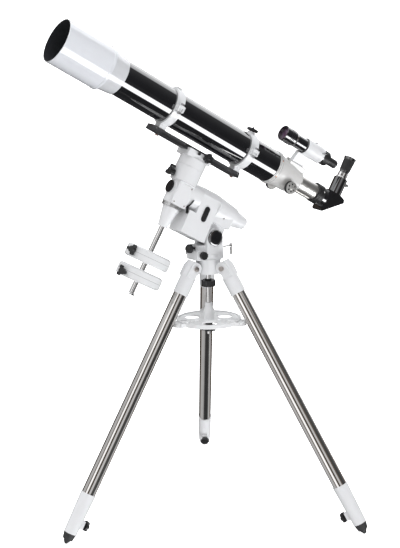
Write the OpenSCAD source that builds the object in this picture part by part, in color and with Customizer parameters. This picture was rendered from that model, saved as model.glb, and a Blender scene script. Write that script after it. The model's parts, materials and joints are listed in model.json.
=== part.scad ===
// Refracting telescope on a German equatorial mount and a steel-tube tripod.
// Z is up, the floor is z = 0, the tube points towards -X and up.

/* [Tripod] */
// Outer diameter of the steel leg tubes
leg_d = 44.45; // [38:0.01:51]
// Lean of each leg from the vertical, degrees
leg_lean = 30.6; // [25:0.1:34]
// Height of the leg hinge bolts above the floor
hinge_z = 811; // [700:1:950]
// Distance of the leg hinge bolts from the centre line
hinge_r = 60; // [55:1:70]
// Height of the accessory tray
tray_z = 637; // [560:1:680]
// Reach of the tray's three arms
tray_reach = 132; // [110:1:134]

/* [Mount] */
// Tilt of the polar axis above the horizon, degrees
altitude = 28.4; // [20:0.1:46]
// Turn of the declination housing about the polar axis, degrees
hour = -3.9; // [-10:0.1:10]
// Height of the altitude pivot
pivot_z = 907; // [880:1:930]
// Diameter of the counterweights
weight_d = 146; // [120:1:160]
// Thickness of the counterweights
weight_t = 41; // [30:1:45]
// Diameter of the counterweight shaft
shaft_d = 17; // [15:0.5:20]

/* [Telescope] */
// Outer diameter of the main tube
tube_d = 108.4; // [100:0.1:116]
// Outer diameter of the dew shield
dew_d = 134.2; // [125:0.1:146]
// Clear diameter of the objective
aperture_d = 120; // [100:1:122]
// Distance of the tube's centre line from the polar axis
tube_off = 207.5; // [200:0.5:220]
// Front edge of the dew shield, from the declination axis
front_z = 565.7; // [500:0.1:600]

/* [Hidden] */
$fn = 64;
leg_r = leg_d / 2;
dec_o = [-101.8, 0, 1064.1];
pivot_x = 3;
tube_r = tube_d / 2;
dew_r = dew_d / 2;
gap = 0.05;
leg_az = [180, 60, -60];
leg_len = (hinge_z - 7) / cos(leg_lean);

// ---------- frames ----------

// Leg frame: origin on the hinge, -Z down the leg, X outwards.
module leg_frame(i)
    rotate([0, 0, leg_az[i]])
        translate([hinge_r, 0, hinge_z])
            rotate([0, -leg_lean, 0])
                children();

// Polar frame: Z along the polar axis, X up and away from the ground.
module polar()
    translate(dec_o)
        rotate([0, altitude - 90, 0])
            children();

// Declination frame: X out along the declination axis, Z along the tube.
module dec()
    polar()
        rotate([0, 0, hour])
            children();

// Tube frame: Z along the tube, X away from the mount.
module ota()
    dec()
        translate([tube_off, 0, 0])
            children();

// Turns a Z-up child so that it lies along +X.
module along_x()
    rotate([0, 90, 0])
        children();

// Turns a Z-up child so that it lies along -Y.
module along_y()
    rotate([90, 0, 0])
        children();

// ---------- shared shapes ----------

module ring_of(r_out, r_in, h)
    difference() {
        cylinder(r = r_out, h = h);
        translate([0, 0, -1])
            cylinder(r = r_in, h = h + 2);
    }

// Hand knob with rounded lobes round a hub.
module lobed(n, r_hub, r_lobe, reach, h)
    union() {
        cylinder(r = r_hub, h = h);
        for (k = [0 : n - 1])
            rotate([0, 0, 360 / n * k])
                translate([reach, 0, 0])
                    cylinder(r = r_lobe, h = h);
    }

// Wheel with finger grooves cut in its rim.
module grooved(n, r, h, cut)
    difference() {
        cylinder(r = r, h = h);
        for (k = [0 : n - 1])
            rotate([0, 0, 360 / n * k])
                translate([r + cut * 0.45, 0, -1])
                    cylinder(r = cut, h = h + 2, $fn = 24);
    }

// ---------- tripod ----------

module hub()
    color("white")
        difference() {
            union() {
                translate([0, 0, 790])
                    cylinder(r = 40, h = 44);
                translate([0, 0, 834])
                    cylinder(r = 44, h = 4);
                for (a = leg_az)
                    rotate([0, 0, a])
                        translate([0, 0, hinge_z - 14])
                            union() {
                                translate([20, -12, 0])
                                    cube([hinge_r - 20, 24, 28]);
                                translate([hinge_r, 12, 14])
                                    along_y()
                                        cylinder(r = 14, h = 24);
                            }
                translate([-42, 0, 834])
                    cylinder(r = 5, h = 20);
            }
            translate([0, 0, 780])
                cylinder(r = 7.3 + gap, h = 70);
            for (a = leg_az)
                rotate([0, 0, a])
                    translate([hinge_r, 20, hinge_z])
                        along_y()
                            cylinder(r = 5, h = 40);
        }

module hinge_bolts()
    color("silver")
        for (a = leg_az)
            rotate([0, 0, a])
                translate([hinge_r, 0, hinge_z])
                    union() {
                        translate([0, 27, 0])
                            along_y()
                                cylinder(r = 5, h = 54);
                        for (s = [-1, 1])
                            translate([0, s > 0 ? 30.5 : -25.5, 0])
                                along_y()
                                    cylinder(r = 7.5, h = 5);
                    }

module castings(i)
    color("white")
        leg_frame(i) {
            difference() {
                union() {
                    for (y = [-12.3, 24.9])
                        translate([0, y, 0])
                            along_y()
                                cylinder(r = 20, h = 12.6);
                    for (y = [-24.9, 12.3])
                        translate([-12, y, -34])
                            cube([32, 12.6, 34]);
                    translate([0, 0, -92])
                        cylinder(r = 25, h = 62);
                    // outer wall, carried up past the hinge
                    difference() {
                        translate([0, 0, -40])
                            cylinder(r = 25, h = 60);
                        translate([-30, -30, -30])
                            cube([31, 60, 60]);
                    }
                }
                translate([0, 40, 0])
                    along_y()
                        cylinder(r = 5 + gap, h = 80);
                translate([0, 0, -93])
                    cylinder(r = leg_r, h = 53);
                // slot for the hub's tongue
                translate([0, 12.3, 0])
                    along_y()
                        cylinder(r = 16, h = 24.6);
                translate([-30, -12.3, -20])
                    cube([36, 24.6, 50]);
            }
            // lower clamp collar
            difference() {
                union() {
                    translate([0, 0, -905])
                        cylinder(r1 = 21.2, r2 = 24.6, h = 132);
                    translate([-31, -9, -884])
                        cube([20, 18, 26]);
                }
                translate([0, 0, -800])
                    cylinder(r = leg_r, h = 30);
                translate([0, 0, -906])
                    cylinder(r = 19.1, h = 110);
                translate([-40, 0, -871])
                    along_x()
                        cylinder(r = 4 + gap, h = 24);
            }
        }

module leg_tube(i)
    color("silver")
        leg_frame(i)
            translate([0, 0, -800])
                ring_of(leg_r, 19.6, 760);

module leg_inner(i)
    color("gainsboro")
        leg_frame(i)
            translate([0, 0, -905.6])
                ring_of(19, 17, 495.6);

module foot(i)
    color("#202020")
        leg_frame(i)
            union() {
                translate([0, 0, -926])
                    cylinder(r1 = 16, r2 = 20.5, h = 20.4);
                translate([0, 0, -906])
                    cylinder(r = 17, h = 20);
                translate([0, 0, -leg_len])
                    cylinder(r1 = 8, r2 = 13, h = leg_len - 925.9);
                translate([0, 0, -leg_len])
                    sphere(r = 7);
            }

module leg_knob(i)
    color("#202020")
        leg_frame(i)
            translate([-19.3, 0, -871])
                rotate([0, -90, 0])
                    union() {
                        cylinder(r = 4, h = 18);
                        translate([0, 0, 12.2])
                            cylinder(r = 8, h = 8);
                        translate([0, 0, 18])
                            grooved(6, 16, 9, 5);
                    }

module centre_rod()
    color("silver")
        translate([0, 0, 588])
            cylinder(r = 7.3, h = 270);

module rod_knob()
    color("#202020")
        difference() {
            union() {
                translate([0, 0, 746])
                    grooved(6, 23, 19, 6);
                translate([0, 0, 765])
                    cylinder(r = 11, h = 5);
            }
            translate([0, 0, 740])
                cylinder(r = 7.3, h = 40);
        }

module tray()
    color("white")
        difference() {
            union() {
                translate([0, 0, tray_z - 5])
                    cylinder(r = 103, h = 6);
                translate([0, 0, tray_z - 9])
                    ring_of(105, 99, 13);
                for (a = leg_az)
                    rotate([0, 0, a])
                        difference() {
                            union() {
                                translate([70, -25, tray_z - 9])
                                    cube([tray_reach - 80, 50, 13]);
                                translate([tray_reach - 25, 0, tray_z - 9])
                                    cylinder(r = 25, h = 13);
                            }
                            translate([60, -21, tray_z + 1])
                                cube([tray_reach - 72, 42, 9]);
                            translate([tray_reach - 25, 0, tray_z + 1])
                                cylinder(r = 21, h = 9);
                            translate([60, -21, tray_z - 10])
                                cube([tray_reach - 72, 42, 5]);
                            translate([tray_reach - 25, 0, tray_z - 10])
                                cylinder(r = 21, h = 5);
                        }
                translate([0, 0, tray_z - 9])
                    cylinder(r = 18, h = 36);
            }
            translate([0, 0, tray_z - 20])
                cylinder(r = 7.3 + gap, h = 60);
            for (k = [0 : 2]) {
                rotate([0, 0, 120 * k])
                    translate([62, 0, tray_z - 20])
                        cylinder(r = 25.6, h = 40);
                rotate([0, 0, 120 * k + 180])
                    translate([43, 0, tray_z - 20])
                        cylinder(r = 10, h = 40);
                rotate([0, 0, 120 * k + 180])
                    translate([85, 0, tray_z - 20])
                        cylinder(r = 16.2, h = 40);
            }
        }

module tray_knob()
    color("#202020")
        difference() {
            union() {
                translate([0, 0, 600])
                    lobed(5, 16, 7, 18.5, 14);
                translate([0, 0, 614])
                    cylinder(r = 11, h = 13.8);
            }
            translate([0, 0, 590])
                cylinder(r = 7.3 + gap, h = 50);
        }

// ---------- mount base ----------

module azimuth_base()
    color("white")
        difference() {
            union() {
                translate([0, 0, 838.2])
                    cylinder(r = 39, h = 14);
                translate([-27, -36, 838.2])
                    cube([63, 72, 40]);
                for (y = [-22, 37.5])
                    union() {
                        translate([-27, y > 0 ? 22 : -37.5, 870])
                            cube([60, 15.5, pivot_z - 870]);
                        translate([pivot_x, y, pivot_z])
                            along_y()
                                cylinder(r = 29, h = 15.5);
                    }
                // azimuth block with its pocket, and the front lug
                translate([-60, -32, 838.2])
                    cube([40, 64, 29]);
                translate([-50, -26, 860])
                    cube([30, 52, 25]);
            }
            translate([-53, -12.5, 830])
                cube([22, 25, 27]);
            translate([0, 0, 830])
                cylinder(r = 7.3 + gap, h = 32);
            // room for the tab that the latitude screws push on
            translate([-18.5, -10.5, 859])
                cube([36, 21, 30]);
            translate([pivot_x, 50, pivot_z])
                along_y()
                    cylinder(r = 9, h = 100);
            // clearance for the lug of the polar housing
            translate([pivot_x, 22, pivot_z])
                along_y()
                    cylinder(r = 34, h = 44);
            for (y = [-60, 10])
                translate([-42, y + 50, 855])
                    along_y()
                        cylinder(r = 4 + gap, h = 50);
            translate([-80, 0, 875])
                along_x()
                    cylinder(r = 4 + gap, h = 65);
            translate([10, 0, 868])
                along_x()
                    cylinder(r = 4 + gap, h = 40);
        }

module pivot_caps()
    color("#151515")
        translate([pivot_x, 0, pivot_z])
            union() {
                translate([0, 45, 0])
                    along_y()
                        cylinder(r = 9, h = 90);
                for (y = [-37.5, 44])
                    translate([0, y, 0])
                        along_y()
                            cylinder(r = 25.5, h = 6.5);
            }

module latitude_screw()
    color("#202020")
        translate([-80, 0, 875])
            along_x()
                union() {
                    cylinder(r1 = 9, r2 = 14, h = 6);
                    translate([0, 0, 6])
                        grooved(8, 14.5, 9, 3.5);
                    translate([0, 0, 15])
                        cylinder(r = 12, h = 3);
                    translate([0, 0, 10])
                        cylinder(r = 4, h = 51);
                }

module latitude_bolt()
    color("silver")
        translate([18, 0, 868])
            union() {
                along_x()
                    cylinder(r = 4, h = 74);
                translate([70, 0, -28])
                    cylinder(r = 4.2, h = 36);
            }

module azimuth_knob(s)
    color("#202020")
        translate([-42, -12.6 * s, 855])
            rotate([90 * s, 0, 0])
                union() {
                    cylinder(r = 4, h = 26);
                    translate([0, 0, 20])
                        cylinder(r = 8, h = 4);
                    translate([0, 0, 23])
                        grooved(10, 12.6, 12, 2.4);
                }

// ---------- polar axis ----------

module polar_housing()
    color("white")
        difference() {
            union() {
                // tab between the latitude screws
                translate([pivot_x - 6, -9.5, 864])
                    cube([12, 19, 25]);
                polar() {
                    // shell round the axis, flat on both sides
                    difference() {
                        rotate_extrude()
                            polygon([[0, -66.3], [42, -66.3], [43.5, -72], [44.5, -130],
                                [37, -190], [33, -222], [0, -222]]);
                        for (y = [-58, 38])
                            translate([-50, y, -136])
                                cube([70, 20, 80]);
                    }
                    // body below the axis
                    translate([-118.5, -38, -136])
                        cube([118.5, 76, 69.7]);
                    translate([-118.5, -38, -90])
                        cube([73, 76, 49]);
                    translate([-45, -34, -208])
                        cube([47, 68, 82]);
                    // pivot lug
                    translate([-110, -21.5, -200])
                        cube([80, 43, 74]);
                }
            }
            polar()
                translate([0, 0, -126])
                    cylinder(r = 15 + gap, h = 70);
            // eyepiece end of the sight bore
            polar()
                translate([0, 0, -223])
                    cylinder(r = 20 + gap, h = 40);
            translate([pivot_x, 30, pivot_z])
                along_y()
                    cylinder(r = 9 + gap, h = 60);
            // trims the lug to a round boss that clears the base
            translate([pivot_x, 23, pivot_z])
                along_y()
                    difference() {
                        cylinder(r = 80, h = 46);
                        translate([0, 0, -1])
                            cylinder(r = 33.7, h = 48);
                        rotate([0, 0, 0])
                            translate([-90, 0, -1])
                                cube([180, 90, 48]);
                        translate([-90, -90, -1])
                            cube([62, 180, 48]);
                    }
        }

module side_cover()
    color("#202020")
        polar()
            for (s = [-1, 1])
                translate([-36, s > 0 ? 40.5 : -38, -99])
                    along_y()
                        union() {
                            for (x = [-16, 16])
                                translate([x, 0, 0])
                                    cylinder(r = 9, h = 2.5);
                            translate([-16, -9, 0])
                                cube([32, 18, 2.5]);
                        }

module rear_cap()
    color("white")
        polar()
            difference() {
                union() {
                    rotate_extrude()
                        polygon([[0, -275], [15, -275], [19.5, -271], [28, -226],
                            [27, -222.3], [0, -222.3]]);
                    translate([0, 0, -222.5])
                        cylinder(r = 20, h = 16);
                }
                translate([0, 0, -262])
                    cylinder(r = 17, h = 80);
            }

module polar_lever()
    color("#202020")
        dec()
            difference() {
                union() {
                    translate([0, 0, -39.6])
                        ring_of(46, 42 + gap, 4);
                    rotate([0, 0, 214])
                        translate([45, -4, -39.6])
                            cube([19, 8, 4]);
                    rotate([0, 0, 214])
                        translate([64, 0, -39.6])
                            cylinder(r = 5, h = 4);
                }
                rotate([0, 0, 34])
                    translate([-34, -60, -41])
                        cube([100, 120, 10]);
            }

// ---------- declination axis ----------

module declination_housing()
    color("white")
        dec()
            difference() {
                union() {
                    // drum under the saddle
                    translate([25, 0, 0])
                        along_x()
                            cylinder(r = 44, h = 50.5);
                    translate([20, 0, 0])
                        along_x()
                            cylinder(r1 = 36, r2 = 44, h = 5);
                    translate([-50, 0, 0])
                        along_x()
                            cylinder(r = 35, h = 76);
                    translate([-50, -36, -26])
                        cube([74, 36, 56]);
                    // front of the polar axis
                    rotate_extrude()
                        polygon([[0, -66], [42, -66], [42, -38], [38, -24],
                            [30, -14], [0, -6]]);
                    translate([0, 0, -110])
                        cylinder(r = 15, h = 50);
                    translate([-3, 0, 0])
                        cylinder(r = 22.5, h = 35.4);
                    // sleeve and cone that hold the weight shaft
                    translate([-61, 0, 0])
                        along_x()
                            cylinder(r = 20, h = 20);
                    translate([-126, 0, 0])
                        along_x()
                            cylinder(r1 = 15.5, r2 = 27.5, h = 65.2);
                }
                translate([-45, 0, 0])
                    along_x()
                        cylinder(r = 12 + gap, h = 130);
                translate([-130, 0, 0])
                    along_x()
                        cylinder(r = shaft_d / 2, h = 30);
                translate([-3, 0, 20])
                    cylinder(r = 17 + gap, h = 30);
                translate([41, 0, 14])
                    cylinder(r = 4 + gap, h = 40);
            }

module front_cap()
    color("#303030")
        dec()
            translate([-3, 0, 0])
                union() {
                    translate([0, 0, 24])
                        cylinder(r = 17, h = 12);
                    translate([0, 0, 35.6])
                        cylinder(r = 20, h = 3.6);
                }

module declination_circle()
    color("gainsboro")
        dec()
            translate([-60.4, 0, 0])
                along_x()
                    ring_of(33, 20 + gap, 10);

module declination_knob()
    color("#202020")
        dec()
            translate([41, 0, 0])
                union() {
                    translate([0, 0, 16])
                        cylinder(r = 4, h = 34);
                    translate([0, 0, 44.4])
                        cylinder(r = 8, h = 6);
                    translate([0, 0, 50])
                        lobed(3, 11, 6.5, 14, 14);
                }

module weight_shaft()
    color("silver")
        dec()
            translate([-352, 0, 0])
                along_x()
                    difference() {
                        cylinder(r = shaft_d / 2, h = 252);
                        translate([0, 0, -1])
                            cylinder(r = 3 + gap, h = 20);
                    }

module shaft_stop()
    color("silver")
        dec()
            translate([-359, 0, 0])
                along_x()
                    union() {
                        cylinder(r1 = 12.5, r2 = 10, h = 6.8);
                        cylinder(r = 3, h = 22);
                    }

module weight(x, dx)
    color("white")
        dec()
            translate([x, 0, 0])
                difference() {
                    along_x()
                        rotate_extrude()
                            polygon([[shaft_d / 2 + gap, 0], [weight_d / 2 - 7, 0],
                                [weight_d / 2, 5], [weight_d / 2, weight_t / 2 - 0.6],
                                [weight_d / 2 - 0.7, weight_t / 2],
                                [weight_d / 2, weight_t / 2 + 0.6],
                                [weight_d / 2, weight_t - 5], [weight_d / 2 - 7, weight_t],
                                [shaft_d / 2 + gap, weight_t]]);
                    translate([dx, 0, 0])
                        rotate([19, 0, 0])
                            cylinder(r = 4 + gap, h = 90);
                }

module weight_knob(x, dx, turn)
    color("#202020")
        dec()
            translate([x + dx, 0, 0])
                rotate([19, 0, 0])
                    union() {
                        translate([0, 0, 9])
                            cylinder(r = 4, h = 70);
                        translate([0, 0, 74])
                            cylinder(r = 9, h = 6);
                        translate([0, 0, 79])
                            rotate([0, 0, turn])
                                lobed(3, 10, 5, 13.5, 10);
                    }

// ---------- saddle, bar and rings ----------

module saddle()
    color("white")
        dec()
            difference() {
                union() {
                    translate([-44, 0, 0])
                        along_x()
                            cylinder(r = 12, h = 130);
                    translate([76, 0, 0])
                        along_x()
                            cylinder(r = 44, h = 28.5);
                    translate([104, -36, -40])
                        cube([23.5, 72, 88]);
                }
                // dovetail groove for the bar
                translate([0, 0, -60])
                    linear_extrude(height = 130)
                        polygon([[118.8, -22.2], [118.8, 22.2], [127.5, 18.4], [140, 18.4],
                            [140, -18.4], [127.5, -18.4]]);
                for (p = [[-18, 5], [16, 4]])
                    translate([122.5, -15, p[0]])
                        along_y()
                            cylinder(r = p[1] - 1 + gap, h = 40);
            }

module saddle_knob()
    color("#202020")
        dec()
            translate([122.5, -20.7, -18])
                along_y()
                    union() {
                        translate([0, 0, 2])
                            cylinder(r = 4, h = 20);
                        translate([0, 0, 15.6])
                            cylinder(r = 9, h = 6);
                        translate([0, 0, 21])
                            lobed(6, 12.3, 4.6, 11.6, 13);
                    }

module saddle_screw()
    color("silver")
        dec()
            translate([122.5, -20.7, 16])
                along_y()
                    union() {
                        translate([0, 0, 2])
                            cylinder(r = 3, h = 18);
                        translate([0, 0, 15.6])
                            grooved(12, 6, 8, 1.2);
                    }

module dovetail_bar()
    color("#3a3a3a")
        dec()
            difference() {
                union() {
                    translate([0, 0, -166])
                        linear_extrude(height = 354)
                            polygon([[119, -22], [119, 22], [127.6, 18.1], [135.5, 18.1],
                                [135.5, -18.1], [127.6, -18.1]]);
                    // heads of the ring bolts, under the ends
                    for (z = [154, -151.4])
                        translate([115, 0, z])
                            along_x()
                                cylinder(r = 6, h = 4.2);
                }
                for (z = [154, -151.4])
                    translate([110, 0, z])
                        along_x()
                            cylinder(r = 2.5, h = 8);
            }

// Lower halves of the two tube rings, with feet on the bar.
module ring_bases()
    color("white")
        ota()
            for (z = [141, -164.4])
                translate([0, 0, z])
                    difference() {
                        union() {
                            cylinder(r = 60.3, h = 26);
                            translate([-72, -16, 1])
                                cube([24, 32, 24]);
                            translate([-9, -74, 2])
                                cube([9, 20, 22]);
                            translate([-8, 52, 2])
                                cube([8, 15, 22]);
                            translate([0, 67, 2])
                                cylinder(r = 6, h = 5.8);
                            translate([0, 67, 18.2])
                                cylinder(r = 6, h = 5.8);
                        }
                        translate([0, 0, -1])
                            cylinder(r = tube_r + gap, h = 28);
                        translate([0, -62, -1])
                            cube([62, 124, 28]);
                        translate([0, 58, 7.8])
                            cube([16, 20, 10.4]);
                        translate([-9, 59, 7.8])
                            cube([10, 20, 10.4]);
                        translate([0, 67, -1])
                            cylinder(r = 3 + gap, h = 28);
                        translate([-10, -76, 7.2])
                            cube([11, 12, 11.6]);
                    }

module ring_top(z)
    color("white")
        ota()
            translate([0, 0, z])
                union() {
                    difference() {
                        union() {
                            cylinder(r = 60.3, h = 26);
                            translate([0.3, -74, 2])
                                cube([9, 20, 22]);
                            translate([0.3, 52, 8])
                                cube([8, 15, 10]);
                            translate([0, 67, 8])
                                cylinder(r = 7, h = 10);
                            translate([52, -10, 4])
                                cube([13, 20, 18]);
                        }
                        translate([0, 0, -1])
                            cylinder(r = tube_r + gap, h = 28);
                        translate([-62, -62, -1])
                            cube([62.3, 124, 28]);
                        translate([-9, -62, -1])
                            cube([9.3, 122, 28]);
                        translate([50, 0, 13])
                            along_x()
                                cylinder(r = 4 + gap, h = 30);
                        translate([-1, 40, -1])
                            cube([1.3, 18, 28]);
                    }
                    // hinge pin and clamp screw
                    translate([0, 67, 2])
                        cylinder(r = 3, h = 22);
                    translate([-16, -69.5, 13])
                        along_x()
                            cylinder(r = 3, h = 26);
                    translate([9.3, -69.5, 13])
                        along_x()
                            cylinder(r = 5.5, h = 7);
                    translate([-16, -69.5, 13])
                        along_x()
                            cylinder(r = 5.2, h = 6.5);
                }

module camera_wheel()
    color("#202020")
        ota()
            translate([56, 0, -151.4])
                along_x()
                    union() {
                        cylinder(r = 4, h = 12);
                        translate([0, 0, 9.3])
                            cylinder(r = 8, h = 5);
                        translate([0, 0, 13])
                            grooved(16, 18.5, 6, 2);
                        translate([0, 0, 19])
                            cylinder(r = 3.175, h = 6.5);
                    }

// ---------- optical tube ----------

module main_tube()
    color("#101010")
        ota()
            translate([0, 0, -269])
                ring_of(tube_r, tube_r - 2, 625);

module lens_cell()
    color("white")
        ota()
            rotate_extrude($fn = 96)
                polygon([[56.6, 350], [62.2, 401], [64.4, 411], [64.4, 438], [60.4, 438],
                    [60.4, 424], [61, 424], [61, 408], [59, 408], [52.8, 356],
                    [tube_r, 356], [tube_r, 350]]);

module objective()
    color("#203040")
        ota()
            rotate_extrude($fn = 96)
                polygon([[0, 408], [61, 408], [61, 420.4], [50, 421.5], [38, 422.3],
                    [24, 423], [10, 423.4], [0, 423.5]]);

module dew_shield()
    color("white")
        ota()
            rotate_extrude($fn = 96)
                polygon([[64.5, 402.5], [dew_r + 1.2, 402.5], [dew_r + 1.2, 409],
                    [dew_r, 411], [dew_r, front_z - 1.5], [dew_r - 0.8, front_z],
                    [64.5, front_z]]);

module focuser_body()
    color("white")
        ota()
            difference() {
                union() {
                    rotate_extrude()
                        polygon([[0, -276], [0, -255], [tube_r - 2, -255], [tube_r - 2, -269],
                            [56, -269], [56, -284], [53.5, -287], [51, -300], [47.5, -340],
                            [39, -385], [36, -392], [0, -392]]);
                    // rack housing and pinion block
                    translate([-45, -30, -376])
                        cube([30, 60, 52]);
                    // finder shoe
                    rotate([0, 0, -22])
                        translate([38, -17, -386])
                            cube([17, 34, 70]);
                }
                translate([0, 0, -395])
                    cylinder(r = 28 + gap, h = 200);
                translate([-36, 60, -344])
                    along_y()
                        cylinder(r = 4.2 + gap, h = 120);
                translate([-32, -4.3, -395])
                    cube([10, 8.6, 160]);
                rotate([0, 0, -22])
                    translate([0, 0, -387])
                        linear_extrude(height = 72)
                            polygon([[46.8, -11.2], [46.8, 11.2], [52, 8.4], [56, 8.4],
                                [56, -8.4], [52, -8.4]]);
            }

module drawtube()
    color("silver")
        ota()
            union() {
                difference() {
                    union() {
                        translate([0, 0, -476])
                            cylinder(r = 28, h = 200);
                        translate([0, 0, -504])
                            cylinder(r = 33, h = 28);
                    }
                    translate([0, 0, -505])
                        cylinder(r = 25 + gap, h = 20);
                    translate([0, 0, -490])
                        cylinder(r = 24.6, h = 220);
                }
                // rail that the focus roller runs on
                translate([-31.7, -4, -470])
                    cube([6, 8, 192]);
            }

module focus_knobs()
    color("silver")
        ota()
            translate([-36, 0, -344])
                union() {
                    translate([0, 62, 0])
                        along_y()
                            cylinder(r = 4.2, h = 124);
                    for (y = [-47, 61])
                        translate([0, y, 0])
                            along_y()
                                grooved(24, 20.5, 14, 1.2);
                }

module diagonal()
    color("#181818")
        ota()
            difference() {
                union() {
                    // nose in the drawtube, and its flange
                    translate([0, 0, -521])
                        cylinder(r = 25, h = 33);
                    translate([0, 0, -521])
                        cylinder(r = 31, h = 16.8);
                    // prism body
                    translate([0, 25, 0])
                        along_y()
                            linear_extrude(height = 50)
                                polygon([[-43, -519], [-46, -526], [14, -598], [25, -595],
                                    [32, -572], [32, -519]]);
                    translate([20, 0, -561])
                        along_x()
                            cylinder(r = 24, h = 68);
                    // thumbscrew
                    translate([76, 0, -583])
                        rotate([0, 180, 0]) {
                            cylinder(r = 3, h = 20);
                            translate([0, 0, 10])
                                cylinder(r = 5, h = 9);
                        }
                }
                translate([0, 0, -545])
                    cylinder(r = 22, h = 60);
                translate([0, 0, -561])
                    along_x()
                        cylinder(r = 20, h = 58);
                translate([34, 0, -561])
                    along_x()
                        cylinder(r = 15.875 + gap, h = 80);
            }

module eyepiece()
    color("#181818")
        ota()
            translate([0, 0, -561])
                along_x()
                    rotate_extrude()
                        polygon([[13.5, 64], [15.875, 64], [15.875, 88.2], [18.5, 88.2],
                            [18.5, 94], [17, 95], [17, 108], [16.2, 109], [16.2, 114],
                            [17.8, 116], [20, 158], [21.4, 160], [21.4, 165], [20, 166],
                            [18.6, 164], [11, 140], [11, 124], [13.5, 118]]);

// ---------- finder ----------

module finder_frame()
    ota()
        rotate([0, 0, -22])
            translate([116, 0, 0])
                children();

module finder_bracket()
    color("white")
        finder_frame()
            union() {
                difference() {
                    union() {
                        translate([0, 0, -404])
                            cylinder(r = 27.4, h = 73);
                        translate([-60.6, -9, -372])
                            cube([36, 18, 50]);
                        // adjusting screws
                        for (a = [60, 180 - 60, -60])
                            rotate([0, 0, a])
                                translate([20, 0, -392])
                                    along_x() {
                                        cylinder(r = 2.2, h = 18);
                                        translate([0, 0, 16])
                                            cylinder(r = 4, h = 9);
                                    }
                    }
                    translate([0, 0, -406])
                        cylinder(r = 25.4, h = 90);
                }
                // dovetail foot
                translate([0, 0, -372])
                    linear_extrude(height = 50)
                        polygon([[-69, -11], [-69, 11], [-64, 8.2], [-60, 8.2],
                            [-60, -8.2], [-64, -8.2]]);
            }

module finder_scope()
    color("#101010")
        finder_frame()
            rotate_extrude()
                polygon([[9, -478], [13.2, -478], [14, -475], [14, -437], [21, -437],
                    [24, -433], [24.6, -408], [25.4, -403], [25.4, -396], [22, -394],
                    [22, -341], [25.4, -339], [25.4, -333], [22, -331], [22, -285],
                    [25.2, -277], [25.2, -234], [24.4, -233], [22.8, -233], [22.8, -246],
                    [0, -246], [0, -470], [9, -470]]);

// ---------- nodes ----------

hub();
hinge_bolts();
castings(0);  // leg_a_castings
castings(1);  // leg_b_castings
castings(2);  // leg_c_castings
leg_tube(0);  // leg_a_tube
leg_tube(1);  // leg_b_tube
leg_tube(2);  // leg_c_tube
leg_inner(0);  // leg_a_inner
leg_inner(1);  // leg_b_inner
leg_inner(2);  // leg_c_inner
foot(0);  // leg_a_foot
foot(1);  // leg_b_foot
foot(2);  // leg_c_foot
leg_knob(0);  // leg_a_knob
leg_knob(1);  // leg_b_knob
leg_knob(2);  // leg_c_knob
centre_rod();
rod_knob();
tray();
tray_knob();
azimuth_base();
pivot_caps();
latitude_screw();
latitude_bolt();
azimuth_knob(1);  // azimuth_knob_near
azimuth_knob(-1);  // azimuth_knob_far
polar_housing();
side_cover();
rear_cap();
declination_housing();
front_cap();
declination_circle();
polar_lever();
declination_knob();
weight_shaft();
shaft_stop();
weight(-252, 22);  // weight_upper
weight(-315, 13);  // weight_lower
weight_knob(-252, 22, 90);  // weight_upper_knob
weight_knob(-315, 13, 30);  // weight_lower_knob
saddle();
saddle_knob();
saddle_screw();
dovetail_bar();
ring_bases();
ring_top(141);  // ring_top_front
ring_top(-164.4);  // ring_top_rear
camera_wheel();
main_tube();
lens_cell();
objective();
dew_shield();
focuser_body();
drawtube();
focus_knobs();
diagonal();
eyepiece();
finder_bracket();
finder_scope();
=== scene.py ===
import json
import math
import bmesh
import bpy
from mathutils import Matrix, Vector


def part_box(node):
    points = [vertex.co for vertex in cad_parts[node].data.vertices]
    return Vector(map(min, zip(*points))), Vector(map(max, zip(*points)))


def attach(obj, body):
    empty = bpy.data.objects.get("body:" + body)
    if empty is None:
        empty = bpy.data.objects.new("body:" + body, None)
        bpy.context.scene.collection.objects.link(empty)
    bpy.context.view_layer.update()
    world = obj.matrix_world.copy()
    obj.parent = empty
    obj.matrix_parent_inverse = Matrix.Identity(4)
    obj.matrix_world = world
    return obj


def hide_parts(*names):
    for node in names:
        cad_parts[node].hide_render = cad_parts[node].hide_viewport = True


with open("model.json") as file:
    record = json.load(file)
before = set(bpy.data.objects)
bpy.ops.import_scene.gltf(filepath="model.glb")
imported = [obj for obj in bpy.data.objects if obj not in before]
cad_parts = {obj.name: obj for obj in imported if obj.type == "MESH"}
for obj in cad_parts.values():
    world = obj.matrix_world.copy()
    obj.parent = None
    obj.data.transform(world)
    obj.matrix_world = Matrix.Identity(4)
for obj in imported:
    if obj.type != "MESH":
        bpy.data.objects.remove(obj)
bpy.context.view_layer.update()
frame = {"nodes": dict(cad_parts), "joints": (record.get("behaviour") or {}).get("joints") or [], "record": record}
NODES = frame["nodes"]
JOINT = {j["name"]: j for j in frame["joints"]}
MM = 0.001


# ---------------------------------------------------------------- frames
def basis(x, y, z, o):
    m = Matrix.Identity(4)
    for i, v in enumerate((x, y, z)):
        for k in range(3):
            m[k][i] = v[k]
    m.translation = o
    return m


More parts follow.
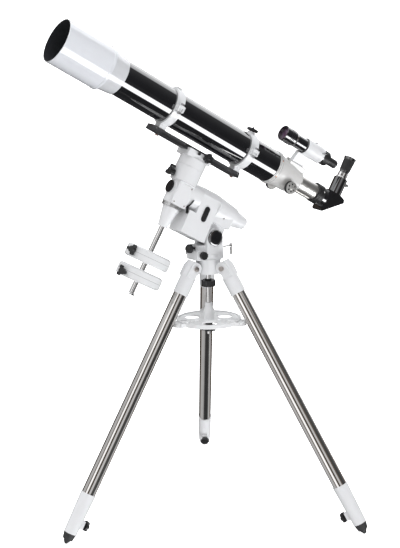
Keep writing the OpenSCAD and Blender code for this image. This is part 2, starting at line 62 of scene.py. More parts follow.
T = Vector(JOINT["tube_turn"]["axis"]).normalized()
XO = Vector(JOINT["declination"]["axis"]).normalized()
YO = T.cross(XO).normalized()
OTA = basis(XO, YO, T, Vector(JOINT["tube_turn"]["pos_m"]))
DEC = basis(XO, YO, T, Vector(JOINT["declination"]["pos_m"]) - XO * 0.020)
YP = Vector((0, 1, 0))
XP = YP.cross(T).normalized()
POLAR = basis(XP, YP, T, DEC.translation)
FINDER = OTA @ Matrix.Rotation(math.radians(-22), 4, "Z") @ Matrix.Translation((0.116, 0, 0))
LEGS = {}
for leg in "abc":
    hinge = JOINT["leg_%s_fold" % leg]
    down = Vector(JOINT["leg_%s_extend" % leg]["axis"]).normalized()
    side = Vector(hinge["axis"]).normalized()
    out = side.cross(-down).normalized()
    LEGS[leg] = basis(out, side, -down, Vector(hinge["pos_m"]))


def at(m, x, y, z):
    return m @ Matrix.Translation((x * MM, y * MM, z * MM))


def turned(m, axis, deg):
    return m @ Matrix.Rotation(math.radians(deg), 4, axis)


# ---------------------------------------------------------------- camera
cam_data = bpy.data.cameras.new("camera")
cam = bpy.data.objects.new("camera", cam_data)
bpy.context.scene.collection.objects.link(cam)
yaw, pitch, roll = (math.radians(v) for v in (32.177, 11.507, -0.9386))
fwd = Vector((math.sin(yaw) * math.cos(pitch), math.cos(yaw) * math.cos(pitch), -math.sin(pitch)))
right0 = Vector((math.cos(yaw), -math.sin(yaw), 0))
up0 = right0.cross(fwd)
right = right0 * math.cos(roll) + up0 * math.sin(roll)
up = up0 * math.cos(roll) - right0 * math.sin(roll)
cam.matrix_world = basis(right, up, -fwd, Vector((-1.7004, -2.6528, 1.4267)))
cam_data.sensor_width = 36
cam_data.lens = 65.71
cam_data.clip_end = 50
bpy.context.scene.camera = cam
bpy.context.scene.view_settings.view_transform = "Standard"


# ---------------------------------------------------------------- materials
class Mat:
    """A small helper round one node material."""

    def __init__(self, name):
        self.m = bpy.data.materials.new(name)
        self.m.use_nodes = True
        self.t = self.m.node_tree
        self.b = self.t.nodes["Principled BSDF"]

    def node(self, kind, **values):
        n = self.t.nodes.new(kind)
        for k, v in values.items():
            if k in n.inputs:
                n.inputs[k].default_value = v
            else:
                setattr(n, k, v)
        return n

    def link(self, a, b):
        self.t.links.new(a, b)

    def coords(self):
        n = self.node("ShaderNodeTexCoord")
        return n.outputs["Object"]

    def noise(self, scale, detail=4.0, rough=0.55, stretch=None):
        n = self.node("ShaderNodeTexNoise")
        n.inputs["Scale"].default_value = scale
        n.inputs["Detail"].default_value = detail
        n.inputs["Roughness"].default_value = rough
        src = self.coords()
        if stretch:
            mp = self.node("ShaderNodeMapping")
            mp.inputs["Scale"].default_value = stretch
            self.link(src, mp.inputs["Vector"])
            src = mp.outputs["Vector"]
        self.link(src, n.inputs["Vector"])
        return n.outputs["Fac"]

    def ramp(self, fac, stops):
        n = self.node("ShaderNodeValToRGB")
        el = n.color_ramp.elements
        while len(el) < len(stops):
            el.new(0.5)
        for e, (p, c) in zip(el, stops):
            e.position = p
            e.color = (*c, 1) if len(c) == 3 else c
        self.link(fac, n.inputs["Fac"])
        return n.outputs["Color"]

    def range(self, fac, lo, hi):
        n = self.node("ShaderNodeMapRange")
        n.inputs["To Min"].default_value = lo
        n.inputs["To Max"].default_value = hi
        self.link(fac, n.inputs["Value"])
        return n.outputs["Result"]

    def bump(self, height, strength, distance=0.0004):
        n = self.node("ShaderNodeBump")
        n.inputs["Strength"].default_value = strength
        n.inputs["Distance"].default_value = distance
        self.link(height, n.inputs["Height"])
        self.link(n.outputs["Normal"], self.b.inputs["Normal"])

    def set(self, **values):
        for k, v in values.items():
            self.b.inputs[k.replace("_", " ")].default_value = v


def paint(name, colour, rough=0.22, coat=0.5, speck=0.02, orange=0.06, dirt=0.03):
    """Sprayed paint: faint mottling, a little orange peel and uneven gloss."""
    m = Mat(name)
    dark = tuple(c * (1 - dirt) for c in colour)
    light = tuple(min(1, c * (1 + speck)) for c in colour)
    m.link(m.ramp(m.noise(38, 5), [(0.35, dark), (0.65, light)]), m.b.inputs["Base Color"])
    m.link(m.range(m.noise(90, 3), rough * 0.85, rough * 1.2), m.b.inputs["Roughness"])
    m.bump(m.noise(900, 2), orange, 0.0002)
    m.set(**{"Coat_Weight": coat, "Coat_Roughness": 0.06})
    return m.m


def lacquer(m):
    """A thick clear lacquer over the paint."""
    b = m.node_tree.nodes["Principled BSDF"]
    b.inputs["Coat IOR"].default_value = 1.8
    b.inputs["Coat Roughness"].default_value = 0.015
    b.inputs["Specular IOR Level"].default_value = 1.0


def metal(name, colour, rough=0.12, streak=(4, 4, 260), bump=0.05):
    """Turned or drawn metal with fine lines in one direction."""
    m = Mat(name)
    dark = tuple(c * 0.9 for c in colour)
    m.link(m.ramp(m.noise(14, 4), [(0.3, dark), (0.7, colour)]), m.b.inputs["Base Color"])
    m.link(m.range(m.noise(1.0, 4, 0.6, streak), rough * 0.75, rough * 1.4), m.b.inputs["Roughness"])
    m.bump(m.noise(1.0, 2, 0.6, tuple(s * 3 for s in streak)), bump, 0.0002)
    m.set(Metallic=1.0)
    return m.m


def plastic(name, colour, rough=0.4, grain=1400, bump=0.12):
    """Moulded plastic with a fine eroded grain."""
    m = Mat(name)
    light = tuple(min(1, c * 1.6 + 0.004) for c in colour)
    m.link(m.ramp(m.noise(60, 5), [(0.35, colour), (0.75, light)]), m.b.inputs["Base Color"])
    m.link(m.range(m.noise(220, 4), rough * 0.8, rough * 1.25), m.b.inputs["Roughness"])
    m.bump(m.noise(grain, 3), bump, 0.0002)
    return m.m


white = paint("white_enamel", (0.775, 0.78, 0.79), 0.36, 0.22, 0.006, 0.05, 0.012)
white_tray = paint("white_tray", (0.80, 0.805, 0.81), 0.36, 0.25, 0.006, 0.05, 0.012)
white_gloss = paint("white_gloss", (0.76, 0.775, 0.81), 0.12, 1.0, 0.01, 0.02, 0.015)
cell_paint = paint("cell_gloss", (0.66, 0.67, 0.69), 0.14, 1.0, 0.01, 0.02, 0.02)
weight_paint = paint("weight_enamel", (0.76, 0.765, 0.77), 0.42, 0.12, 0.01, 0.14, 0.02)
warm_grey = paint("focuser_paint", (0.655, 0.648, 0.635), 0.30, 0.3)
black_gloss = paint("black_gloss", (0.0045, 0.0045, 0.006), 0.06, 1.0, 0.2, 0.012, 0.2)
lacquer(black_gloss)
black_satin = plastic("black_satin", (0.006, 0.006, 0.007), 0.24, 900, 0.03)
black_polished = paint("black_polished", (0.005, 0.005, 0.006), 0.12, 1.0, 0.2, 0.01, 0.2)
lacquer(black_polished)
black_plastic = plastic("black_plastic", (0.007, 0.007, 0.0075), 0.36)
black_matt = plastic("black_matt", (0.010, 0.011, 0.014), 0.75, 600, 0.2)
grip_black = plastic("grip_black", (0.004, 0.004, 0.0045), 0.5, 700, 0.15)
rubber = plastic("black_rubber", (0.016, 0.016, 0.017), 0.62, 700, 0.3)
chrome = metal("bright_chrome", (0.78, 0.775, 0.77), 0.05, (60, 60, 60), 0.02)
steel = metal("leg_steel", (0.66, 0.64, 0.62), 0.09, (40, 40, 3), 0.03)
silver = metal("satin_silver", (0.74, 0.725, 0.70), 0.36, (5, 5, 300), 0.08)
bolt_metal = metal("bolt_plating", (0.50, 0.46, 0.44), 0.34, (200, 200, 200), 0.1)
brass = metal("copper_screw", (0.60, 0.33, 0.22), 0.2, (200, 200, 200), 0.1)
nut_metal = metal("nut_plating", (0.46, 0.46, 0.47), 0.22, (200, 200, 200), 0.1)
washer_metal = metal("washer_plating", (0.86, 0.86, 0.86), 0.45, (200, 200, 200), 0.04)
circle_metal = metal("circle_metal", (0.60, 0.60, 0.60), 0.3, (300, 300, 300), 0.05)
# Dark grey painted shadow for the fine lines at joints and grooves.
seam_shadow_paint = paint("seam_shadow", (0.30, 0.30, 0.31), 0.5, 0.0)
bar_metal = metal("bar_anodising", (0.13, 0.13, 0.135), 0.4, (300, 300, 12), 0.06)


# Painted reflection: the base colour runs from centre to rim with the viewing angle and stands in for the tint
# that the lens coating reflects.
def lens_facing_sheen(name, centre, rim):
    m = Mat(name)
    fres = m.node("ShaderNodeLayerWeight", Blend=0.35)
    m.link(m.ramp(fres.outputs["Facing"], [(0.0, centre), (0.9, rim)]), m.b.inputs["Base Color"])
    m.link(m.range(m.noise(30, 2), 0.02, 0.05), m.b.inputs["Roughness"])
    m.set(**{"Coat_Weight": 1.0, "Coat_Roughness": 0.02})
    m.b.inputs["IOR"].default_value = 1.6
    return m.m


lens_big = lens_facing_sheen("objective_coating_sheen", (0.004, 0.006, 0.012), (0.03, 0.05, 0.09))
# The finder's pinkish-purple centre is a painted reflection of its coating.
lens_small = lens_facing_sheen("finder_coating_sheen", (0.15, 0.085, 0.14), (0.03, 0.012, 0.045))

SLOT_MATERIAL = {
    "white_paint": white, "cap_white": white, "tray_paint": white_tray,
    "weight_iron": weight_paint, "steel_bolts": bolt_metal, "chrome": chrome,
    "leg_steel": steel, "black_plastic": black_plastic, "cap_gloss": black_satin,
    "foot_rubber": rubber, "circle_metal": circle_metal, "bar_anodised": bar_metal,
    "black_gloss": black_gloss, "cell_white": cell_paint, "shield_white": white_gloss,
    "lens_glass": lens_big, "focuser_grey": warm_grey, "silver_anodised": silver,
    "eyepiece_black": black_polished, "finder_white": white,
}
# Nodes that look unlike the rest of their slot.
NODE_MATERIAL = {"diagonal": black_polished, "eyepiece": black_polished}


def smooth(o, deg=32):
    """Shade smooth, with sharp edges kept."""
    me = o.data
    bm = bmesh.new()
    bm.from_mesh(me)
    bm.normal_update()
    sharp = [len(e.link_faces) != 2 or e.calc_face_angle(0) > math.radians(deg) for e in bm.edges]
    bm.free()
    for p in me.polygons:
        p.use_smooth = True
    for e, s in zip(me.edges, sharp):
        e.use_edge_sharp = s


for row in frame["record"]["subparts"]:
    o = NODES[row["node"]]
    o.data.materials.clear()
    o.data.materials.append(NODE_MATERIAL.get(row["node"], SLOT_MATERIAL[row["material_slot"]]))

# ---------------------------------------------------------------- mesh helpers
def piece(name, bm, mat, body, m=None, deg=32, replaces=(), bevel=None):
    """One mesh piece in the row frame, riding on a body."""
    bmesh.ops.remove_doubles(bm, verts=bm.verts, dist=1e-7)
    bmesh.ops.recalc_face_normals(bm, faces=bm.faces)
    me = bpy.data.meshes.new(name)
    if m is not None:
        bm.transform(m)
        if m.determinant() < 0:
            bmesh.ops.reverse_faces(bm, faces=bm.faces)
    bm.to_mesh(me)
    bm.free()
    o = bpy.data.objects.new(name, me)
    bpy.context.scene.collection.objects.link(o)
    mats = mat if isinstance(mat, (list, tuple)) else [mat]
    for x in mats:
        me.materials.append(x)
    if bevel:
        b = o.modifiers.new("bevel", "BEVEL")
        b.width = bevel * MM
        b.segments = 2
        b.limit_method = "ANGLE"
        b.angle_limit = math.radians(35)
        b.harden_normals = True
    smooth(o, deg)
    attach(o, body)
    if replaces:
        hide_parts(*replaces)
    return o


def lathe(bm, profile, segs=48, m=None, mat=0, wobble=None):
    """Revolves (radius, height) points in mm about Z. A point with radius 0 closes the end."""
    rings = []
    new = []
    for r, z in profile:
        if r <= 1e-6:
            v = bm.verts.new((0, 0, z * MM))
            rings.append([v])
            new.append(v)
            continue
        ring = []
        for i in range(segs):
            a = 2 * math.pi * i / segs
            rr = r * (wobble(a, z) if wobble else 1)
            v = bm.verts.new((rr * MM * math.cos(a), rr * MM * math.sin(a), z * MM))
            ring.append(v)
            new.append(v)
        rings.append(ring)
    for a, b in zip(rings, rings[1:]):
        for i in range(segs):
            k = (i + 1) % segs
            if len(a) == 1 and len(b) == 1:
                break
            if len(a) == 1:
                f = bm.faces.new((a[0], b[k], b[i]))
            elif len(b) == 1:
                f = bm.faces.new((a[i], a[k], b[0]))
            else:
                f = bm.faces.new((a[i], a[k], b[k], b[i]))
            f.material_index = mat
    if m is not None:
        bmesh.ops.transform(bm, matrix=m, verts=new)
    return new


def prism(bm, outline, z0, z1, m=None, mat=0, chamfer=0.0):
    """Extrudes a convex outline in mm from z0 to z1, with a small chamfer on both faces."""
    n = len(outline)
    cx = sum(p[0] for p in outline) / n
    cy = sum(p[1] for p in outline) / n
    new = []

    def ring(scale, z):
        out = []
        for x, y in outline:
            d = math.hypot(x - cx, y - cy) or 1
            k = (d - scale) / d
            v = bm.verts.new(((cx + (x - cx) * k) * MM, (cy + (y - cy) * k) * MM, z * MM))
            out.append(v)
            new.append(v)
        return out

    if chamfer:
        rings = [ring(chamfer, z0), ring(0, z0 + chamfer), ring(0, z1 - chamfer), ring(chamfer, z1)]
    else:
        rings = [ring(0, z0), ring(0, z1)]
    for a, b in zip(rings, rings[1:]):
        for i in range(n):
            f = bm.faces.new((a[i], a[(i + 1) % n], b[(i + 1) % n], b[i]))
            f.material_index = mat
    for f in (bm.faces.new(list(reversed(rings[0]))), bm.faces.new(rings[-1])):
        f.material_index = mat
    if m is not None:
        bmesh.ops.transform(bm, matrix=m, verts=new)
    return new


def screw(bm, m, r, h, slot=True, mat=0, hexagon=False):
    """A small screw head standing on z = 0 of m, with a rounded edge and a cross slot or hex socket."""
    if hexagon:
        lathe(bm, [(0, h * 0.45), (r * 0.45, h * 0.45), (r * 0.45, h), (r * 0.9, h), (r, h * 0.85),
                   (r, 0), (0, 0)], 24, m, mat)
        return
    lathe(bm, [(0, h), (r * 0.55, h * 0.96), (r * 0.85, h * 0.8), (r, h * 0.4), (r, 0), (0, 0)],
          24, m, mat)
    if slot:
        for a in (0, 90):
            w = r * 0.12
            prism(bm, [(-r * 0.6, -w), (r * 0.6, -w), (r * 0.6, w), (-r * 0.6, w)], h * 0.9,
                  h * 1.04, turned(m, "Z", a), 1)


def knurl(n, depth):
    return lambda a, z: 1 - depth * (0.5 - 0.5 * math.cos(n * a))


for n, o in NODES.items():
    smooth(o, 30)

# ---------------------------------------------------------------- dew shield: dark inside
sh = NODES["dew_shield"]
sh.data.materials.append(black_matt)
inv = OTA.inverted()
for p in sh.data.polygons:
    c = inv @ p.center
    if math.hypot(c.x, c.y) < 0.0652:
        p.material_index = 1

# ---------------------------------------------------------------- fittings
AX = Matrix.Rotation(math.radians(90), 4, "Y")       # turns +Z to +X
AY = Matrix.Rotation(math.radians(90), 4, "X")       # turns +Z to -Y
RINGS = {"ring_top_front": 154, "ring_top_rear": -151.4}


def pivot_trim():
    """Domed gloss discs with chrome rims on the altitude pivot."""
    o = Vector(JOINT["altitude"]["pos_m"])
    for side, name in ((1, "near"), (-1, "far")):
        m = Matrix.Translation(o) @ Matrix.Rotation(math.radians(90 * side), 4, "X")
        bm = bmesh.new()
        lathe(bm, [(0, 47.3), (9, 47.1), (17, 46.2), (22.5, 45.1), (24.3, 44.2), (24.3, 43.6), (0, 43.6)],
              64, m)
        piece("pivot_dome_" + name, bm, black_gloss, "azimuth_head")
        bm = bmesh.new()
        lathe(bm, [(24.4, 43.4), (25.7, 43.4), (25.9, 44.1), (25.5, 44.9), (24.8, 44.9), (24.4, 44.4),
                   (24.4, 43.4)], 64, m)
        piece("pivot_rim_" + name, bm, chrome, "azimuth_head")


def circle_marks():
    """Two rows of engraved marks on the declination circle, with a line between them."""
    bm = bmesh.new()
    m = DEC @ AX
    for k in range(72):
        size = 3.4 if k % 2 == 0 else 2.0
        for z0 in (-60.2, -55.0):
            prism(bm, [(32.9, -0.28), (33.1, -0.28), (33.1, 0.28), (32.9, 0.28)], z0, z0 + size,
                  turned(m, "Z", k * 5 + (2.5 if z0 < -56 else 0)))
    lathe(bm, [(32.9, -55.7), (33.12, -55.7), (33.12, -55.3), (32.9, -55.3), (32.9, -55.7)], 96, m)
    piece("circle_marks", bm, black_plastic, "declination_circle")


def seams():
    """Fine shadow lines where the mount's castings meet, and in the weights."""
    bm = bmesh.new()
    for x, r in ((25.2, 44.02), (-50.2, 35.02)):
        lathe(bm, [(r - 0.4, x), (r + 0.06, x), (r + 0.06, x + 0.7), (r - 0.4, x + 0.7), (r - 0.4, x)],
              96, DEC @ AX)
    piece("declination_seams", bm, seam_shadow_paint, "declination_head")
    for name, x in (("weight_upper", -231.5), ("weight_lower", -294.5)):
        bm = bmesh.new()
        r = WEIGHT_R
        lathe(bm, [(r - 1.2, x - 0.45), (r - 0.1, x - 0.45), (r - 0.1, x + 0.45), (r - 1.2, x + 0.45),
                   (r - 1.2, x - 0.45)], 96, DEC @ AX)
        piece(name + "_seam", bm, seam_shadow_paint, name)


def housing_panel():
    """The flat near side of the declination housing: a raised plate and its screws, and two screws on the polar
    housing.
    """
    bm = bmesh.new()
    m = DEC @ Matrix.Translation((0, -36 * MM, 0)) @ AY
    prism(bm, [(-47, -23), (20, -23), (20, 27), (-47, 27)], -0.2, 0.9, m, chamfer=0.45)
    piece("declination_plate", bm, white, "declination_head")
    bm = bmesh.new()
    for x, z in ((-42, 22), (-42, -18), (15, -18)):
        screw(bm, m @ Matrix.Translation((x * MM, z * MM, 0.9 * MM)), 2.6, 1.3)
    piece("declination_plate_screws", bm, [bolt_metal, black_plastic], "declination_head")
    bm = bmesh.new()
    for z in (-150, -172):
        screw(bm, at(POLAR, 0, -34, z) @ AY @ Matrix.Translation((-20 * MM, 0, 0)), 3, 1.6)
    piece("polar_housing_screws", bm, [bolt_metal, black_plastic], "polar_head")


def ring_clamps():
    """Knurled chrome nuts on both ring clamps."""
    for name, z in RINGS.items():
        m = OTA @ Matrix.Translation((0, -69.5 * MM, z * MM)) @ AX
        bm = bmesh.new()
        lathe(bm, [(0, 17.4), (3.0, 17.4), (4.8, 17), (6.1, 16), (6.1, 10.6), (5, 9.6), (0, 9.6)], 72, m,
              wobble=knurl(24, 0.06))
        lathe(bm, [(0, -16.9), (4.6, -16.9), (5.9, -16), (5.9, -10.6), (5, -9.9), (0, -9.9)], 72, m,
              wobble=knurl(24, 0.06))
        piece(name + "_nuts", bm, nut_metal, name)


def bar_screws():
    """Socket screws under both ends of the bar, and three slotted screws along its side."""
    bm = bmesh.new()
    for z in RINGS.values():
        screw(bm, at(DEC, 115, 0, z) @ Matrix.Rotation(math.radians(-90), 4, "Y"), 5.2, 2.2, hexagon=True)
    piece("bar_bolt_heads", bm, brass, "cradle")
    bm = bmesh.new()
    for z in (171, -160, 60):
        screw(bm, at(DEC, 131.5, -18.1, z) @ AY, 2.4, 1.0)
    piece("bar_side_screws", bm, [chrome, black_plastic], "cradle")


def focuser_trim():
    """Painted shadow lines round the focuser's flange, screws on the focuser, and the two-part focus knobs."""
    bm = bmesh.new()
    # Thin dark rings at the flange joints are painted shadow.
    for r, z in ((56.2, -274), (56.2, -281)):
        lathe(bm, [(r - 2, z), (r + 0.25, z), (r + 0.25, z + 1.0), (r - 2, z + 1.0), (r - 2, z)], 96, OTA)
    piece("focuser_flange_shadow_lines", bm, seam_shadow_paint, "optical_tube")
    bm = bmesh.new()
    for deg in (-60, -120, 0, 60, 120, 180):
        m = turned(OTA, "Z", deg) @ Matrix.Translation((55.9 * MM, 0, -277.5 * MM)) @ AX
        screw(bm, m, 2.4, 1.4)
    piece("focuser_screws", bm, [brass, black_plastic], "optical_tube")
    centre = OTA @ Matrix.Translation((-36 * MM, 0, -344 * MM))
    for side, name in ((1, "near"), (-1, "far")):
        m = centre @ Matrix.Rotation(math.radians(90 * side), 4, "X")
        bm = bmesh.new()
        lathe(bm, [(17, 48.6), (20.9, 48.6), (21.3, 49.4), (21.3, 58.6), (20.9, 59.4), (17, 59.4),
                   (17, 48.6)], 144, m, wobble=knurl(48, 0.018))
        piece("focus_grip_" + name, bm, rubber, "focus_knobs")
        bm = bmesh.new()
        lathe(bm, [(0, 62.2), (5, 62.2), (6.2, 61.8), (6.6, 61.2), (16.8, 61.5), (18.6, 61.2),
                   (19.2, 60.6), (0, 60.6)], 72, m)
        piece("focus_face_" + name, bm, silver, "focus_knobs")
        bm = bmesh.new()
        for k in range(6):
            lathe(bm, [(0, 61.75), (2.5, 61.75), (2.7, 61.5), (2.7, 61.2), (0, 61.2)], 24,
                  turned(m, "Z", 60 * k + 15) @ Matrix.Translation((12 * MM, 0, 0)))
        piece("focus_dimples_" + name, bm, black_satin, "focus_knobs")


def drawtube_trim():
    """The black end ring with its grooves and silver screws."""
    bm = bmesh.new()
    lathe(bm, [(28.2, -475.4), (33.2, -475.4), (34.2, -476.6), (34.2, -483), (33.3, -483.8), (33.3, -486),
               (34.2, -486.8), (34.2, -503.2), (33.4, -504.1), (31.4, -504.1), (31.4, -490), (28.2, -480),
               (28.2, -475.4)], 96, OTA)
    piece("drawtube_end_ring", bm, grip_black, "drawtube")
    bm = bmesh.new()
    for deg in (-70, -150, 50):
        m = turned(OTA, "Z", deg) @ Matrix.Translation((34.0 * MM, 0, -495 * MM)) @ AX
        lathe(bm, [(0, 4.6), (2.6, 4.6), (3.2, 4.0), (3.2, 1.2), (1.6, 1.0), (1.6, 0), (0, 0)], 36, m,
              wobble=knurl(16, 0.08))
    piece("drawtube_screws", bm, chrome, "drawtube")


def eyepiece_trim():
    """The bright collar and neck of the eyepiece and its ribbed rubber grip."""
    m = OTA @ Matrix.Translation((0, 0, -561 * MM)) @ AX
    bm = bmesh.new()
    lathe(bm, [(17, 88.5), (18.7, 88.5), (18.9, 88.9), (18.9, 93.3), (18.7, 93.8), (17, 94.6),
               (17, 88.5)], 64, m)
    lathe(bm, [(16, 95.4), (17.25, 95.4), (17.25, 107.6), (16, 107.8), (16, 95.4)], 64, m)
    piece("eyepiece_neck", bm, chrome, "eyepiece")
    bm = bmesh.new()
    lathe(bm, [(17, 117), (18.2, 117.4), (20.1, 155.6), (19, 156.4), (17, 117)], 120, m,
          wobble=knurl(40, 0.012))
    piece("eyepiece_grip", bm, grip_black, "eyepiece")


def finder_trim():
    """The finder's lens, its grips and the adjusting screws in the bracket."""
    bm = bmesh.new()
    lathe(bm, [(0, -243.6), (8, -243.9), (16, -244.8), (22.2, -245.9), (22.2, -246.4), (0, -246.4)],
          64, FINDER)
    piece("finder_lens", bm, lens_small, "finder")
    bm = bmesh.new()
    for z in (-268, -262, -256):
        lathe(bm, [(24.5, z), (25.55, z), (25.55, z + 2.6), (24.5, z + 2.6), (24.5, z)], 120, FINDER,
              wobble=knurl(60, 0.01))
    piece("finder_grip", bm, black_plastic, "finder")
    bm = bmesh.new()
    lathe(bm, [(23, -433.2), (24.3, -432.6), (24.85, -409), (23, -408.4), (23, -433.2)], 120, FINDER,
          wobble=knurl(60, 0.008))
    lathe(bm, [(13, -474.4), (14.3, -474), (14.3, -438.4), (13, -438), (13, -474.4)], 96, FINDER,
          wobble=knurl(48, 0.01))
    piece("finder_rear_grips", bm, grip_black, "finder")
    # Each is (name, degrees round the finder, tip), at the angles of the bracket's own screws.
    for name, deg, tip in (("top", 60, black_plastic), ("far", 120, black_plastic), ("near", -60, nut_metal)):
        m = turned(FINDER, "Z", deg) @ Matrix.Translation((20 * MM, 0, -392 * MM)) @ AX
        bm = bmesh.new()
        lathe(bm, [(1.5, 7.5), (2.4, 7.5), (2.4, 15.9), (1.5, 15.9), (1.5, 7.5)], 24, m)
        piece("finder_adjuster_" + name, bm, nut_metal, "finder")
        bm = bmesh.new()
        lathe(bm, [(0, 25.3), (3.6, 25.3), (4.4, 24.6), (4.4, 16.5), (3.6, 15.8), (0, 15.8)], 48, m,
              wobble=knurl(16, 0.05))
        piece("finder_adjuster_tip_" + name, bm, tip, "finder")


def knob_caps():
    """A small domed cap in the middle of the declination and saddle knobs."""
    caps = (
        ("declination_knob", "declination_clamp", 5.5),
        ("saddle_knob", "saddle_knob_turn", 5.0),
    )
    for name, joint, r in caps:
        j = JOINT[joint]
        z = Vector(j["axis"]).normalized()
        x = z.orthogonal().normalized()
        o = Vector(j["pos_m"])
        pts = [z.dot(v.co - o) for v in NODES[name].data.vertices]
        m = basis(x, z.cross(x), z, o + z * max(pts))
        bm = bmesh.new()
        lathe(bm, [(0, 1.6), (r * 0.5, 1.4), (r * 0.85, 0.8), (r, 0), (r, -0.4), (0, -0.4)], 36, m)
        piece(name + "_cap", bm, black_satin, name)


def hinge_washers():
    """Plated washers between the hinge bolts and the leg castings."""
    bm = bmesh.new()
    for leg in "abc":
        for s in (1, -1):
            m = LEGS[leg] @ Matrix.Rotation(math.radians(90 * s), 4, "X")
            lathe(bm, [(5.4, 24.98), (10.2, 24.98), (10.6, 25.2), (10.2, 25.46), (5.4, 25.46), (5.4, 24.98)],
                  48, m)
    piece("hinge_washers", bm, washer_metal, "tripod_hub")
    bm = bmesh.new()
    for leg in "abc":
        for s in (1, -1):
            m = (LEGS[leg] @ Matrix.Rotation(math.radians(90 * s), 4, "X")
                 @ Matrix.Translation((0, 0, 30.4 * MM)))
            screw(bm, m, 5.6, 1.4, hexagon=True)
    piece("hinge_bolt_sockets", bm, bolt_metal, "tripod_hub")


def rod_clip():
    """The white collar that guides the tray on the rod."""
    bm = bmesh.new()
    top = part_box("tray")[1].z / MM
    lathe(bm, [(8.4, top - 0.4), (17.5, top - 0.4), (16.5, top + 6), (12.5, top + 15), (11.6, top + 27),
               (8.4, top + 27), (8.4, top - 0.4)], 48, Matrix.Identity(4))
    piece("tray_collar", bm, white_tray, "tray")


WEIGHT_R = max((p.co - (DEC.translation + XO * (p.co - DEC.translation).dot(XO))).length
               for p in NODES["weight_upper"].data.vertices) / MM
for build in (pivot_trim, circle_marks, seams, housing_panel, ring_clamps, bar_screws, focuser_trim,
              drawtube_trim, eyepiece_trim, finder_trim, knob_caps, hinge_washers, rod_clip):
    build()

# ---------------------------------------------------------------- floor and light
def glow(name):
    """Plain white paint, lit evenly from within, so that the stage has no edge."""
    m = Mat(name)
    m.link(m.ramp(m.noise(0.6, 2), [(0.3, (0.90, 0.90, 0.90)), (0.7, (0.93, 0.93, 0.93))]),
           m.b.inputs["Base Color"])
    m.set(Roughness=0.9)
    m.b.inputs["Emission Color"].default_value = (1, 1, 1, 1)
    m.b.inputs["Emission Strength"].default_value = 1.0
    return m.m


def stage(name, bm):
    """A stage mesh that the camera sees and the studio light passes."""
    me = bpy.data.meshes.new(name)
    bm.to_mesh(me)
    bm.free()
    me.materials.append(glow(name + "_white"))
    o = bpy.data.objects.new(name, me)
    bpy.context.scene.collection.objects.link(o)
    o.visible_diffuse = False
    o.visible_glossy = False
    o.visible_transmission = False
    o.visible_shadow = False
    return o


bm = bmesh.new()
bmesh.ops.create_grid(bm, x_segments=2, y_segments=2, size=14)
stage("floor", bm)
bm = bmesh.new()
bmesh.ops.create_uvsphere(bm, u_segments=48, v_segments=24, radius=18)
stage("backdrop", bm)

# The studio: long soft boxes that run beside the tube, with dark cards between them.
# Each stop is (degrees round the tube from straight up towards the viewer, brightness).
BOXES = [(-180, 0.05), (-95, 0.05), (-60, 0.2), (-46, 1.75), (2, 1.6), (5, 0.15), (11, 0.12),
         (14, 0.15), (38, 0.10), (62, 0.06), (90, 0.05), (98, 0.10), (112, 0.05), (115, 7.5),
         (140, 7.5), (143, 0.05), (180, 0.05)]
PEAK = 8.0
world = bpy.data.worlds.new("studio")
bpy.context.scene.world = world
world.use_nodes = True
wt = world.node_tree
bg = wt.nodes["Background"]


def world_node(kind, **values):
    n = wt.nodes.new(kind)
    for k, v in values.items():
        setattr(n, k, v)
    return n


def along(direction, axis):
    n = world_node("ShaderNodeVectorMath", operation="DOT_PRODUCT")
    wt.links.new(direction, n.inputs[0])
    n.inputs[1].default_value = axis
    return n.outputs["Value"]


def calc(op, a, b=None):
    n = world_node("ShaderNodeMath", operation=op)
    for i, v in enumerate((a, b)):
        if v is None:
            continue
        if isinstance(v, (int, float)):
            n.inputs[i].default_value = v
        else:
            wt.links.new(v, n.inputs[i])
    return n.outputs["Value"]


def stops(value, pairs):
    n = world_node("ShaderNodeValToRGB")
    el = n.color_ramp.elements
    while len(el) < len(pairs):
        el.new(0.5)
    for e, (x, v) in zip(el, pairs):
        e.position = x
        e.color = (v, v, v, 1)
    wt.links.new(value, n.inputs["Fac"])
    return n.outputs["Color"]


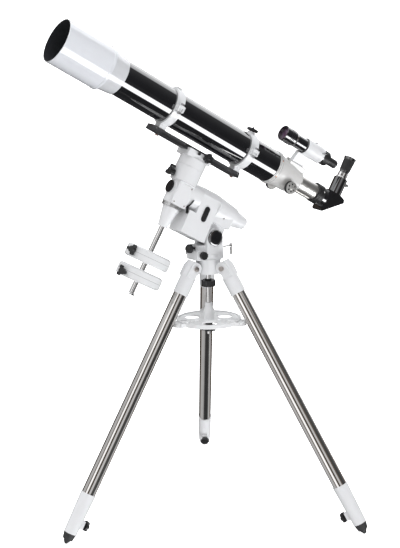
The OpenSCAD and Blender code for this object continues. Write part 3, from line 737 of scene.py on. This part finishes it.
ray = world_node("ShaderNodeTexCoord").outputs["Generated"]
turn = calc("ARCTAN2", along(ray, -YP), along(ray, XP))
turn = calc("ADD", calc("DIVIDE", turn, 2 * math.pi), 0.5)
boxes = calc("MULTIPLY", stops(turn, [((a + 180) / 360, v / PEAK) for a, v in BOXES]), PEAK)
length = calc("ADD", calc("MULTIPLY", along(ray, T), 0.5), 0.5)
where = stops(length, [(0.05, 0), (0.10, 1), (0.37, 1), (0.45, 0)])
# Cards stood round the room behind the camera give the polished legs their stripes.
# Each stop is (degrees round from behind the camera, right positive, brightness).
CARDS = [(-180, 0.10), (-118, 0.10), (-108, 0.75), (-66, 0.85), (-60, 0.22), (-48, 0.16), (-44, 1.9),
         (-20, 1.9), (-17, 0.12), (4, 0.15), (8, 0.95), (30, 1.0), (35, 0.25), (62, 0.12),
         (68, 1.0), (108, 0.85), (118, 0.10), (180, 0.10)]
BACK = Vector((-fwd.x, -fwd.y, 0)).normalized()
SIDE = Vector((-BACK.y, BACK.x, 0))
around = calc("ARCTAN2", along(ray, SIDE), along(ray, BACK))
around = calc("ADD", calc("DIVIDE", around, 2 * math.pi), 0.5)
cards = calc("MULTIPLY", stops(around, [((a + 180) / 360, v / 2) for a, v in CARDS]), 1.7)
height = calc("ADD", calc("MULTIPLY", along(ray, (0, 0, 1)), 0.5), 0.5)
belt = stops(height, [(0.17, 0), (0.25, 1), (0.74, 1), (0.82, 0)])
poles = calc("MULTIPLY", stops(height, [(0.0, 0.30), (0.5, 0.40), (0.8, 0.8), (1.0, 1.0)]), 1.9)
room = calc("ADD", calc("MULTIPLY", cards, belt), calc("MULTIPLY", poles, calc("SUBTRACT", 1.0, belt)))
level = calc("ADD", calc("MULTIPLY", boxes, where),
             calc("MULTIPLY", room, calc("SUBTRACT", 1.0, where)))
tint = world_node("ShaderNodeValToRGB")
tint.color_ramp.elements[0].color = (1.0, 0.80, 0.68, 1)
tint.color_ramp.elements[0].position = 0.1
tint.color_ramp.elements[1].color = (0.975, 0.985, 1.0, 1)
tint.color_ramp.elements[1].position = 0.6
wt.links.new(calc("MAXIMUM", room, where), tint.inputs["Fac"])
wt.links.new(tint.outputs["Color"], bg.inputs["Color"])
wt.links.new(level, bg.inputs["Strength"])
